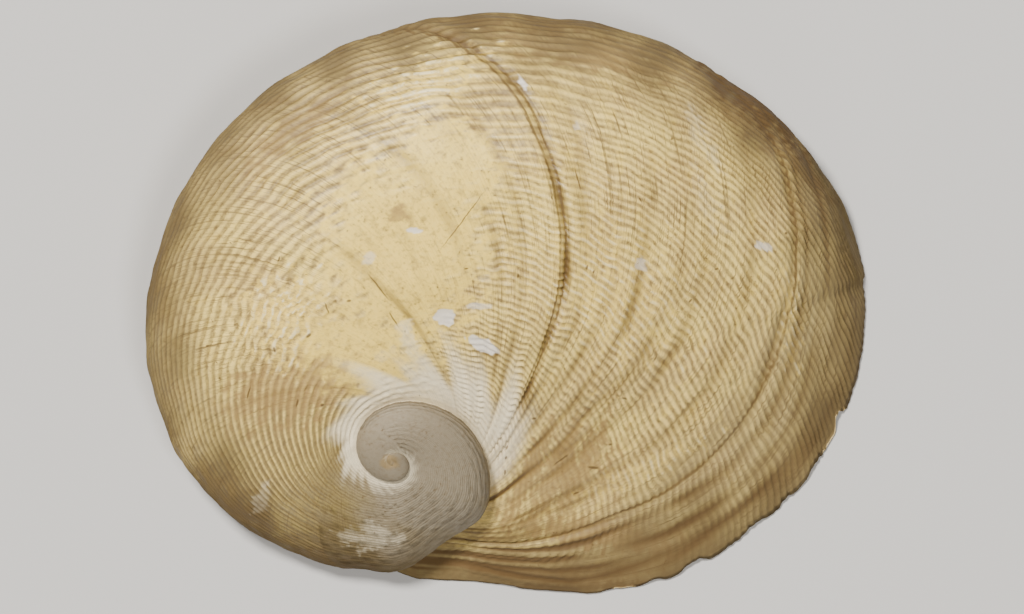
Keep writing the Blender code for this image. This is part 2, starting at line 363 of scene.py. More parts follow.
patches = {  # pixel x and y, half length and half width, turn, and in most a strength
    "wrinkled": (285, 325, 70, 50, 30),
    "worn": ((405, 250, 85, 110, 0), (360, 350, 60, 45, 0), (450, 165, 60, 45, -20)),
    "chips": (  # the strength is how white it is
        (446, 318, 10, 9, 0, 1.0), (484, 345, 17, 7, -24, 1.0), (480, 307, 15, 4, 0, 0.55),
        (415, 232, 8, 3.5, -10, 0.8), (522, 86, 9, 3.5, -55, 0.8), (577, 128, 5, 7, 0, 0.45),
        (640, 266, 7, 9, 10, 0.5), (762, 247, 11, 5, -15, 0.6), (484, 278, 9, 5, 0, 0.35),
        (371, 259, 9, 7, 20, 0.5),
    ),
    "pale": (
        (368, 537, 34, 14, 5, 0.45), (262, 500, 8, 20, -15, 0.38), (410, 338, 9, 20, 20, 0.6),
        (388, 352, 14, 6, 30, 0.35), (700, 140, 40, 9, -60, 0.35), (705, 200, 12, 40, 20, 0.3),
    ),
    "nucleus": (391, 461, 10, 8, 10),
    # painted highlights: patches painted lighter where the lamps would glint on the dome
    "paintedHighlight": (
        (290, 312, 42, 34, 20, 0.9), (432, 84, 60, 20, 20, 0.8), (612, 290, 55, 70, 30, 0.55),
        (790, 320, 9, 50, 5, 0.6), (535, 250, 60, 60, 0, 0.35), (640, 470, 70, 10, 25, 0.45),
        (300, 345, 30, 20, 40, 0.7), (560, 180, 70, 40, -30, 0.25),
    ),
    # brown stains; those along the outline are partly painted shade of the steep sides, and the faint broad one
    # at pixel 205, 250 is painted shade on the left side
    "brown": (
        (560, 590, 170, 7, 1, 0.8), (757, 104, 78, 19, -42, 1.35), (802, 165, 44, 10, -58, 0.9),
        (520, 26, 130, 10, 0, 0.6), (350, 45, 90, 7, 25, 0.5), (162, 270, 14, 80, 12, 0.45),
        (232, 505, 92, 24, -42, 0.55), (330, 560, 50, 8, -14, 0.5), (205, 250, 45, 95, 8, 0.17),
        (600, 540, 90, 9, 9, 0.45), (850, 260, 8, 60, 8, 0.3), (760, 540, 60, 9, 38, 0.3),
    ),
    # tan stains; those along the outline are partly painted shade of the steep sides
    "tan": (
        (290, 390, 60, 32, 10), (401, 214, 8, 9, -20), (600, 535, 90, 14, -8), (560, 470, 60, 40, 35),
        (745, 120, 70, 14, -42), (620, 60, 150, 18, -10), (560, 582, 160, 12, -2), (300, 130, 60, 14, 40),
    ),
}


def grooveShape(distance, width):
    # a sharp dip with a low raised shoulder on its newer side
    shoulder = np.exp(-(((distance - 2.1 * width) / (1.4 * width)) ** 2))
    return -np.exp(-((distance / width) ** 2)) + 0.45 * shoulder


def leaning(line, angle):
    # where a growth mark runs: it lags towards the suture, and near the lip towards the far side too
    back = 11 * smooth(-1.2, -2.15, angle) * smooth(-130, -80, line) * (1 - 0.65 * smooth(-14, 0, line))
    return line - back - 9 * smooth(-1.1, -0.1, angle) * smooth(-60, -18, line) * smooth(0, -12, line)


def surfaceFields(line, angle, x, y, z):
    # relief in mm and the paint masks, from the growth line, the angle round the section and the place
    f = {}
    top = smooth(0.5, 0.1, angle)
    newest = smooth(-stretch - 6, -stretch + 6, line)
    worn = strongest(patches["worn"], x, y, 0.3, 5, 0) * top * newest
    wrinkled = patch(patches["wrinkled"], x, y, 0.3, 9) * top * newest
    edgeFade = smooth(suture, suture + 0.10, angle)
    u = (angle - suture) / ridgePitch
    wave = relief["waver"] * (wander(line / 14, u / 9, 15) + 0.45 * wander(line / 5, u / 4, 16))
    u = u + wave * edgeFade * newest * (1 + 2.5 * wrinkled) * (1 - 0.75 * smooth(-125, -185, line))
    splitAt = relief["splitLine"] + relief["splitLean"] * (angle + 1)
    split = smooth(-1, 1, (line - splitAt) / relief["splitWidth"])
    rough = 1 + 0.40 * wander(u / 5, line / 9, 21)
    main = np.cos(2 * math.pi * u) * (1 - split)
    between = np.cos(4 * math.pi * u) * split
    seamFade = np.where(line < -stretch * 0.98, smooth(seam, seam - 0.1, angle), 1)
    size = np.exp(growth["rate"] * (line + 120) * 0.5).clip(0.12, 1.15)
    h = (relief["ridgeHeight"] * main + relief["newRidgeHeight"] * between) * rough * edgeFade * seamFade * size
    h = h * (1 - 0.95 * worn) * (1 + 0.7 * wrinkled) * (1 - 0.65 * smooth(-2.5, 0, line))
    # ridges give way to growth lines beside the suture, most of all at the lip
    quiet = 0.6 * smooth(-1.25, -1.85, angle) * smooth(-80, -62, line)
    quiet = np.maximum(quiet, 0.88 * smooth(-1.1, -1.5, angle) * smooth(-16, -11, line))
    h = h * (1 - quiet)
    stainAndShade = 0 * line
    for at, depth, width, first, last, tint in relief["grooves"]:
        along = smooth(first - 0.15, first + 0.1, angle) * smooth(last + 0.25, last - 0.15, angle)
        shift = 0.5 * wander(angle * 1.3, at + 0 * angle, int(-at))
        depthHere = along * (0.85 + 0.22 * wander(angle * 2.5, 0 * angle, int(-at) + 7)).clip(0.2, 1.5)
        d = line - leaning(at, angle) - shift
        h = h + depth * depthHere * grooveShape(d, width)
        stainAndShade = stainAndShade + tint * depthHere * np.exp(-((d / (1.25 * width)) ** 2))
    rng = np.random.default_rng(relief["seed"])
    nearSuture = np.exp(-(angle - suture) / 0.45)
    for k in range(relief["fineGrooves"]):
        at = -stretch * rng.uniform(0, 1) ** 1.25
        width = rng.uniform(0.75, 1.4)
        depth = rng.uniform(0.2, 1.0) ** 2 * relief["fineDepth"]
        depth = depth * (1 + 4.0 * nearSuture * smooth(-125, -90, line))
        along = smooth(-0.5, 0.9, wander(angle * 1.6 + 3 * k, 0 * angle + k, 100 + k))
        d = line - leaning(at, angle) - 0.9 * wander(angle * 1.1, 0 * angle + k, 300 + k)
        h = h + depth * along * grooveShape(d, width) * (1 - 0.8 * worn) * edgeFade
        fan = 1 + 1.4 * nearSuture * smooth(-110, -80, line)
        tint = relief["fineStain"] * fan * depth * along * np.exp(-((d / width) ** 2))
        stainAndShade = stainAndShade + tint * (1 - 0.6 * worn)
    h = h + relief["undulation"] * wander(x / 7, y / 7, 31) * edgeFade * seamFade * newest
    h = h + 0.02 * wander(x / 2.2, y / 2.2, 33) * edgeFade * seamFade * newest * (0.5 + wrinkled)
    chips = strongest(patches["chips"], x, y, 0.22, 40) * top * newest
    h = h - 0.05 * chips
    below = [(p[0], p[1] + 3.5, *p[2:5]) for p in patches["chips"][:2]]
    rims = strongest(below, x, y, 0.22, 40) * top * newest
    f["height"] = h
    ridgeAge = smooth(-stretch - 4, -stretch + 40, line)
    f["ridge"] = (main + between) * edgeFade * (1 - worn) * (1 - quiet) * ridgeAge
    f["stainAndShade"] = ((stainAndShade * newest).clip(0, 1.4) + 0.9 * (rims - chips).clip(0, 1)).clip(0, 1.4)
    f["worn"] = worn
    f["chip"] = chips
    run = angle - suture
    haloAge = smooth(-48, -80, line) * (1 - 0.45 * smooth(-stretch, -stretch - 70, line))
    haloAge = haloAge * smooth(-700, -560, line)
    haloWidth = (0.20 + 0.04 * wander(line / 22, 0 * line, 61)) * (1 - 0.22 * smooth(-130, -190, line))
    halo = 1.15 * smooth(haloWidth * 2.7, haloWidth * 0.3, run) * haloAge
    f["chalk"] = np.maximum(halo, strongest(patches["pale"], x, y, 0.42, 70) * top)
    # mask of the painted highlights
    f["paintedHighlight"] = strongest(patches["paintedHighlight"], x, y, 0.6, 120) * top * newest
    # the brown patches join the stain mask, which so carries both stains and painted shade
    f["stainAndShade"] = np.maximum(f["stainAndShade"], strongest(patches["brown"], x, y, 0.55, 150) * top)
    f["nucleus"] = patch(patches["nucleus"], x, y, 0.15, 17) * top
    f["tan"] = strongest(patches["tan"], x, y, 0.5, 90, 1) * top
    # painted shade: darker towards the outline and the low edge, where the steep sides turn away from the light
    azimuth, radius = planOf(np.stack([x, y], -1) - growth["apexAt"])
    paintedEdgeShade = smooth(6.0, -0.5, outlineRadius(azimuth) - radius + 0.6 * wander(x / 5, y / 5, 35)) ** 1.1
    low = smooth(5.0, 0.0, z + 0.7 * wander(x / 5, y / 5, 35))
    f["paintedEdgeShade"] = np.maximum(paintedEdgeShade, 0.8 * low)
    f["old"] = smooth(-135, -235, line)
    f["spire"] = smooth(-248, -315, line + 10 * wander(x / 3, y / 3, 37))
    f["fresh"] = smooth(-24.5, -17.5, line)
    return f


fieldNames = (
    "ridge", "stainAndShade", "worn", "chip", "chalk", "tan", "paintedEdgeShade", "old", "spire", "nucleus", "paintedHighlight", "fresh",
    "inside", "deep",
)

layout = {  # counts of points and degrees of growth
    "rows": 248,  # growth lines over the newest stretch; each older stretch has half as many
    "columns": 336,  # from suture to seam at the lip
    "halveAt": -118.0,  # growth line at which the columns are halved
    "baseColumns": 88,
    "denseAt": (-69.0, -17.5),  # the two deep grooves, where rows lie closer
    "denseWidth": 3.5,
    "hollowDepth": 145.0,
    "hollowEnd": 24.0,
}

wall = {  # mm
    "lip": 0.42,
    "full": 0.95,
    "corner": 1.30,  # from the suture's end to the hollow
    "callus": 0.30,
    "callusRun": 7.0,  # degrees of growth from the callus's edge to its full thickness
    "deepThickening": 1.5,  # share by which the wall is thicker at the hollow's end
}


def growthLines():
    # rows closer together towards the lip and at the two deep grooves
    line = np.linspace(-stretch, 0, 4000)
    density = 1 / np.interp(line, [-stretch, -130, -90, 0], [1.45, 1.3, 0.85, 0.78])
    for at in layout["denseAt"]:
        density = density + 0.8 * np.exp(-(((line - at) / layout["denseWidth"]) ** 2))
    run = np.concatenate([[0], np.cumsum((density[1:] + density[:-1]) / 2)])
    found = np.interp(np.linspace(0, run[-1], layout["rows"] + 1), run, line)[::-1].copy()
    found[0], found[-1] = 0.0, -stretch
    return found


class Shape:
    # points with their paint masks, and faces with each corner's own growth line and angle

    def __init__(self):
        self.points, self.masks, self.faces, self.corners, self.count = [], [], [], [], 0

    def add(self, points, masks):
        # stores points of any array shape and gives back their numbers in that shape
        points = np.asarray(points, float)
        shape = points.shape[:-1]
        self.points.append(points.reshape(-1, 3))
        columns = [np.broadcast_to(masks.get(name, 0.0), shape).reshape(-1) for name in fieldNames]
        self.masks.append(np.stack(columns, -1))
        first = self.count
        self.count += int(np.prod(shape))
        return np.arange(first, self.count).reshape(shape)

    def addSkin(self, line, angle):
        # outer surface moved along its normal by the relief
        line, angle = np.broadcast_arrays(line, angle)
        flat = skinPlace(line, angle)
        fields = surfaceFields(line, angle, flat[..., 0], flat[..., 1], flat[..., 2])
        normal = facing * skinNormal(line, angle)
        return self.add(flat + fields["height"][..., None] * normal, fields)

    def addFaces(self, numbers, line, angle, flip=False):
        # one face for each row of point numbers, turned over unless flip is set
        order = slice(None, None, 1 if flip else -1)
        self.faces.append(numbers[:, order])
        self.corners.append(np.stack([angle, line], -1)[:, order])

    def grid(self, index, line, angle, flip=False):
        # a quad for every four neighbours in a table of points
        cut = [np.s_[:-1, :-1], np.s_[1:, :-1], np.s_[1:, 1:], np.s_[:-1, 1:]]
        parts = np.broadcast_arrays(index, line, angle)
        self.addFaces(*[np.stack([a[c] for c in cut], -1).reshape(-1, 4) for a in parts], flip=flip)

    def strip(self, coarse, fine, flip=False):
        # polygons between a row of points and one with several times as many; a row is numbers, lines, angles
        ratio = (len(fine[0]) - 1) // (len(coarse[0]) - 1)
        made = []
        for c, f in zip(coarse, fine):
            c, f = np.asarray(c), np.asarray(f)
            back = [f[ratio::ratio]] + [f[k: len(f) - ratio + k: ratio] for k in range(ratio - 1, -1, -1)]
            made.append(np.stack([c[:-1], c[1:]] + back, -1))
        self.addFaces(*made, flip=flip)

    def fan(self, ring, centre, flip=False):
        # triangles from a ring of points to one in its middle
        numbers = np.stack([ring[:-1], ring[1:], 0 * ring[1:] + centre], -1)
        self.addFaces(numbers, 0.0 * numbers - 900, 0.0 * numbers, flip=flip)


lipNicks = (  # pixel on the lip's edge, width and depth in pixels
    (847, 426, 9, 5.0), (752, 524, 14, 4.0), (690, 565, 12, 4.5), (655, 585, 10, 4.0),
    (508, 589, 10, 3.0), (700, 556, 6, 2.5), (815, 468, 12, 2.5), (785, 500, 8, 2.0),
    (545, 592, 6, 1.5), (610, 596, 9, 2.0),
)


def lipChips(angle):
    # degrees of growth missing at the lip: a fine waver and the nicks seen along the edge
    at = np.linspace(suture, 1.2, 1500)
    edge = skinPlace(0 * at, at)
    missing = 0.10 + 0.08 * wander(angle * 7, 0 * angle, 81) + 0.03 * wander(angle * 20, 0 * angle, 82)
    for x, y, width, depth in lipNicks:
        cx, cy = pixelPlan(x, y)
        near = np.hypot(edge[:, 0] - cx, edge[:, 1] - cy).argmin()
        run = np.hypot(*np.gradient(edge[:, :2], at, axis=0)[near]) / photo["mmPerPixel"]
        missing = missing + depth / 5.3 * np.exp(-np.abs((angle - at[near]) * run / width) ** 3)
    return missing.clip(0, 2) * smooth(1.3, 0.9, angle) * smooth(suture, suture + 0.05, angle)


def innerLip(line):
    # angle round the section at which the outside ends and the mouth's inner side begins
    left = np.clip(1 + line / stretch, 0, 1)
    return seam + (columella - seam) * left ** tube["innerLipBend"]


def evenAngles(start, end, count):
    # angles that stand evenly along the lip
    angles = np.linspace(start, end, 400)
    gaps = np.linalg.norm(np.diff(skin(0 * angles, angles), axis=0), axis=1)
    run = np.concatenate([[0], np.cumsum(gaps)])
    return np.interp(np.linspace(0, run[-1], count), run, angles)


def buildOutside(shape):
    # the spiral band from suture to seam in ever coarser stretches, the base under the seam, and the tip
    rows, columns = growthLines(), layout["columns"]
    half = int(np.argmax(rows < layout["halveAt"])) // 2 * 2
    angles = np.linspace(suture, seam, columns + 1)
    lines = rows[:half, None] - lipChips(angles)[None, :] * np.exp(rows[:half, None] / 5)
    near = shape.addSkin(lines, angles)
    shape.grid(near, lines, angles)
    fewer = angles[::2]
    far = shape.addSkin(rows[half:-1, None], fewer)
    shape.grid(far, rows[half:-1, None], fewer)
    shape.strip((far[0], rows[half] + 0 * fewer, fewer), (near[-1], lines[-1], angles))
    start = near[0, 0]
    seamColumn = np.concatenate([near[:, -1], far[:, -1], [start]])
    sutureColumn = np.concatenate([near[:, 0], far[:, 0]])
    lastRow, lastLine = (far[-1], rows[-2]), rows
    extra = []
    for k in range(1, 4):
        fewer = fewer[::2]
        own = lastLine[::2] - stretch
        kept = own if k == 3 else own[:-1]
        band = shape.addSkin(kept[:, None], fewer[:-1])
        shape.grid(band, kept[:, None], fewer[:-1])
        edge = np.concatenate([sutureColumn, [band[0, 0]]])
        # joined to the end of the stretch before it
        newest = np.concatenate([band[0], [edge[0]]])
        before, beforeLine = lastRow
        more = np.linspace(suture, seam, len(before))
        shape.strip(
            (newest[:-1], own[0] + 0 * fewer[:-1], fewer[:-1]),
            (before[:-2], beforeLine + 0 * more[:-2], more[:-2]),
        )
        corner = [newest[-2], newest[-1], *extra, before[-1], before[-2], before[-3]]
        cornerAngle = [fewer[-2], seam] + [seam] * len(extra) + [seam, more[-2], more[-3]]
        cornerLine = [own[0]] * (2 + len(extra)) + [beforeLine] * 3
        shape.addFaces(np.array([corner]), np.array([cornerLine]), np.array([cornerAngle]))
        # joined along the seam to the turn after it
        fine = edge[: 2 * len(kept) - 1]
        fineLine = lastLine[: len(fine)] - stretch
        shape.strip((band[:, -1], kept, fewer[-2] + 0 * kept), (fine, fineLine, seam + 0 * fineLine))
        extra = [edge[-2]]
        lastRow, lastLine = (np.concatenate([band[-1], [fine[-1]]]), kept[-1]), own
        sutureColumn = band[:, 0]
    nucleus = np.concatenate([sutureColumn, band[-1, 1:], [edge[-1]]])
    nothing = 0.0 * own[-1:]
    apex = place(grownPoint(own[-1:] - 60.0, nothing, nothing), own[-1:])
    tip = shape.add(apex, {"spire": 1.0, "stainAndShade": 0.6})
    shape.fan(nucleus, tip[0], flip=True)
    print("spire done")

    baseRows = rows[::2]
    share = (evenAngles(seam, columella, layout["baseColumns"] + 1) - seam) / (columella - seam)
    baseAngles = seam + share[None, 1:] * (innerLip(baseRows)[:-1, None] - seam)
    baseLines = baseRows[:-1, None] - lipChips(baseAngles) * np.exp(baseRows[:-1, None] / 5)
    base = shape.addSkin(baseLines, baseAngles)
    shape.grid(base, baseLines, baseAngles)
    fine = seamColumn[: 2 * len(base) - 1]
    fineLine = rows[: len(fine)]
    shape.strip((base[:, 0], baseRows[:-1], baseAngles[:, 0]), (fine, fineLine, seam + 0 * fineLine), flip=True)
    corner = np.array([[fine[-1], seamColumn[-2], start, base[-1, 0]]])
    shape.addFaces(corner, np.full((1, 4), -stretch), np.full((1, 4), seam))
    ends = np.stack([base[-1, :-1], 0 * base[-1, 1:] + start, base[-1, 1:]], -1)
    shape.addFaces(ends, 0.0 * ends - stretch, 0.0 * ends + seam)
    print("base done")
    lip = np.concatenate([near[0], base[0]])
    lipLines = np.concatenate([lines[0], baseLines[0]])
    lipAngles = np.concatenate([angles, baseAngles[0]])
    return lip, lipLines, lipAngles, base[1:, -1], baseRows[1:-1]


def turnedIn(points, degrees):
    # the same points as they were earlier in growth: smaller, and turned about the coiling axis
    outX, outY, down = points @ axisAcross, points @ axisBeside, -(points @ axisAlong)
    radius, azimuth = np.hypot(outX, outY), np.degrees(np.arctan2(outY, outX))
    return grownPoint(degrees + 0 * radius, radius, down, azimuth - growth["sutureAzimuth"])


def lipSetIn(angles):
    # straight in from the skin at the lip, but never below the lip's plane
    at = skin(0 * angles, angles)
    along = skin(0 * angles, angles + 0.005) - skin(0 * angles, angles - 0.005)
    inward = np.cross(along, at - skin(0 * angles - 1.0, angles))
    inward[:, 2] = np.maximum(inward[:, 2], 0)
    return wall["full"] * inward / np.linalg.norm(inward, axis=1)[:, None]


def innerSetIn(lines):
    # the callus: a little further in over the turn before, and a little off it
    angles = innerLip(lines)
    at, deeper = skin(lines, angles), skin(lines - wall["callusRun"], angles)
    off = np.cross(skin(lines, angles + 0.01) - at, deeper - at)
    off /= -np.sign(off[:, 2:]) * np.linalg.norm(off, axis=1)[:, None]
    return deeper - at + wall["callus"] * off


def buildHollow(shape, lip, lipLines, lipAngles, inner, innerLines):
    # the mouth's edge set in, then turned back along the growth to a round end, with fewer points deeper in
    edge = np.concatenate([lip, inner])
    lines = np.concatenate([lipLines, innerLines])
    at = np.concatenate([skin(lipLines, lipAngles), skin(innerLines, innerLip(innerLines))])
    setIn = np.concatenate([lipSetIn(lipAngles), innerSetIn(innerLines)])
    corner = (at[9] + at[-9] - 2 * at[0]) * [1, 1, 0]
    setIn[0] = wall["corner"] * corner / np.linalg.norm(corner)
    for k in range(1, 9):
        setIn[k] = (setIn[k] * k + setIn[0] * (9 - k)) / 9
        setIn[-k] = (setIn[-k] * k + setIn[0] * (9 - k)) / 9
    thickens = np.concatenate([(lipAngles - suture) / (seam - suture), 0 * innerLines]).clip(0, 1)

    def ring(depth, part):
        # the mouth's edge some degrees of growth further in, and part of the way in from the skin
        share = wall["lip"] / wall["full"] + (1 - wall["lip"] / wall["full"]) * min(depth / 20, 1)
        deep = (np.clip(depth / layout["hollowDepth"], 0.4, 1) - 0.4) / 0.6
        share = part * (share + thickens[:, None] * wall["deepThickening"] * deep**2)
        return place(turnedIn(at + share * setIn, -depth), lines - depth)

    def masks(depth):
        # paint of the lining, darker with depth
        return {"inside": 1.0, "deep": depth / layout["hollowDepth"]}

    depths = [0.0, 1.0, 2.5] + list(np.linspace(5.0, layout["hollowDepth"], 38))
    rings = [np.append(edge, edge[0])]
    for part in (0.25, 0.75):
        made = shape.add(ring(0.0, part), {"inside": 0.5 + 0.5 * part})
        rings.append(np.append(made, made[0]))
    shape.grid(np.stack(rings), 0.0, 0.0, flip=True)
    last, deeper = rings[-1], []
    for step in (2, 4):
        made = shape.add(ring(depths[step // 2], 1.0)[::step], masks(depths[step // 2]))
        made = np.append(made, made[0])
        shape.strip((made, 0.0 * made, 0.0 * made), (last, 0.0 * last, 0.0 * last), flip=True)
        last = made
    deeper.append(last)
    for depth in depths[3:]:
        made = shape.add(ring(depth, 1.0)[::4], masks(depth))
        deeper.append(np.append(made, made[0]))
    for part in (0.3, 0.6, 0.85, 0.96):
        whole = ring(layout["hollowDepth"] + layout["hollowEnd"] * part, 1.0)
        middle = whole[: len(lip)].mean(axis=0)
        smaller = middle + (whole - middle) * math.sqrt(1 - part**2)
        made = shape.add(smaller[::4], masks(layout["hollowDepth"]))
        deeper.append(np.append(made, made[0]))
    shape.grid(np.stack(deeper), 0.0, 0.0, flip=True)
    end = shape.add(middle[None], masks(layout["hollowDepth"]))
    shape.fan(deeper[-1], end[0])
    print("hollow done")


def meshFrom(shape, name):
    # one Blender mesh: points in metres, a growth map on the corners, and each paint mask on the points
    points = np.concatenate(shape.points) * mm
    points[:, 2] -= points[:, 2].min()
    mesh = bpy.data.meshes.new(name)
    sizes = np.concatenate([np.full(len(f), f.shape[1]) for f in shape.faces])
    loops = np.concatenate([f.ravel() for f in shape.faces])
    mesh.vertices.add(len(points))
    mesh.vertices.foreach_set("co", points.astype(np.float32).ravel())
    mesh.loops.add(len(loops))
    mesh.loops.foreach_set("vertex_index", loops.astype(np.int32))
    mesh.polygons.add(len(sizes))
    mesh.polygons.foreach_set("loop_start", np.concatenate([[0], np.cumsum(sizes)[:-1]]).astype(np.int32))
    mesh.polygons.foreach_set("loop_total", sizes.astype(np.int32))
    mesh.update(calc_edges=True)
    corners = np.concatenate([c.reshape(-1, 2) for c in shape.corners])
    along = 2 * corners[:, 1] - leaning(corners[:, 1], corners[:, 0])
    corners = np.stack([(corners[:, 0] - suture) / ridgePitch, along], -1)
    growthMap = mesh.uv_layers.new(name="growth")
    growthMap.uv.foreach_set("vector", corners.astype(np.float32).ravel())
    masks = np.concatenate(shape.masks)
    for k, mask in enumerate(fieldNames):
        attribute = mesh.attributes.new(mask, "FLOAT", "POINT")
        attribute.data.foreach_set("value", masks[:, k].astype(np.float32))
    mesh.polygons.foreach_set("use_smooth", np.ones(len(sizes), bool))
    problems = mesh.validate(verbose=False)
    print("%s: %d points, %d triangles, mended %s" % (name, len(points), int((sizes - 2).sum()), problems))
    return mesh


marks = (  # small dark flecks and scratches: pixel, half length and half width in pixels, turn in degrees
    (508, 446, 2.2, 1.0, 80), (507, 456, 1.8, 1.0, 60), (506, 471, 3.0, 1.1, 85), (508, 488, 3.0, 1.2, 30),
    (611, 443, 2.2, 1.1, 20), (594, 466, 6.0, 1.4, -5), (577, 492, 3.2, 1.0, 25), (562, 458, 10.0, 1.0, 35),
    (535, 417, 2.6, 1.0, 5), (625, 397, 3.0, 1.2, -15), (578, 180, 11.0, 0.8, -75), (552, 198, 2.2, 0.9, -70),
    (587, 267, 2.4, 1.2, 80), (594, 271, 2.0, 1.0, 70), (519, 275, 2.6, 1.3, 75), (330, 307, 6.0, 0.9, -70),
    (312, 334, 3.2, 1.6, 40), (278, 348, 3.0, 1.3, -75), (381, 286, 17.0, 0.9, -52), (352, 300, 2.4, 1.3, 10),
    (300, 401, 4.0, 1.1, 75), (325, 403, 2.0, 1.3, 30), (252, 391, 7.0, 0.9, 75), (785.5, 232.5, 1.5, 1.4, 0),
    (464, 221, 36.0, 0.6, 53), (283, 259, 3.4, 1.0, 70), (396, 318, 9.0, 0.9, -58), (690, 300, 2.6, 1.0, 45),
    (655, 357, 3.0, 0.9, 60), (716, 268, 2.0, 1.0, 20), (468, 268, 2.4, 0.9, 15), (640, 200, 3.0, 0.8, -60),
)

paint = {  # linear colours
    "cream": (0.7, 0.5, 0.18),
    "creamPale": (0.98, 0.74, 0.21),
    # pale cream of the worn zone, also used for the painted highlights
    "wornAndHighlightCream": (1.0, 0.71, 0.145),
    "groove": (0.165, 0.108, 0.041),
    "brown": (0.115, 0.066, 0.021),
    "chalk": (1.0, 0.88, 0.62),
    "crest": (1.0, 0.74, 0.22),
    # colour of the painted glints on the crests
    "glint": (1.0, 0.88, 0.55),
    "chip": (0.80, 0.74, 0.66),
    "tan": (0.33, 0.205, 0.072),
    "fresh": (0.32, 0.245, 0.115),
    # colour of the painted shade at the outline and the low edge
    "paintedEdgeShade": (0.135, 0.092, 0.036),
    "mark": (0.10, 0.055, 0.02),
    "olive": (0.19, 0.143, 0.058),
    "spireGrey": (0.3, 0.25, 0.17),
    "nucleus": (0.36, 0.225, 0.06),
    "inside": (0.80, 0.62, 0.36),
    "insideDeep": (0.47, 0.28, 0.11),
}


surface = {
    "specular": 0.36,
    "bumpDepth": 0.00006,  # m
    "bumpStrength": 0.6,
    "markShake": 0.00012,  # m by which the marks' edges are moved
    "markShakeScale": 2600,
    "markStrength": 0.8,
}


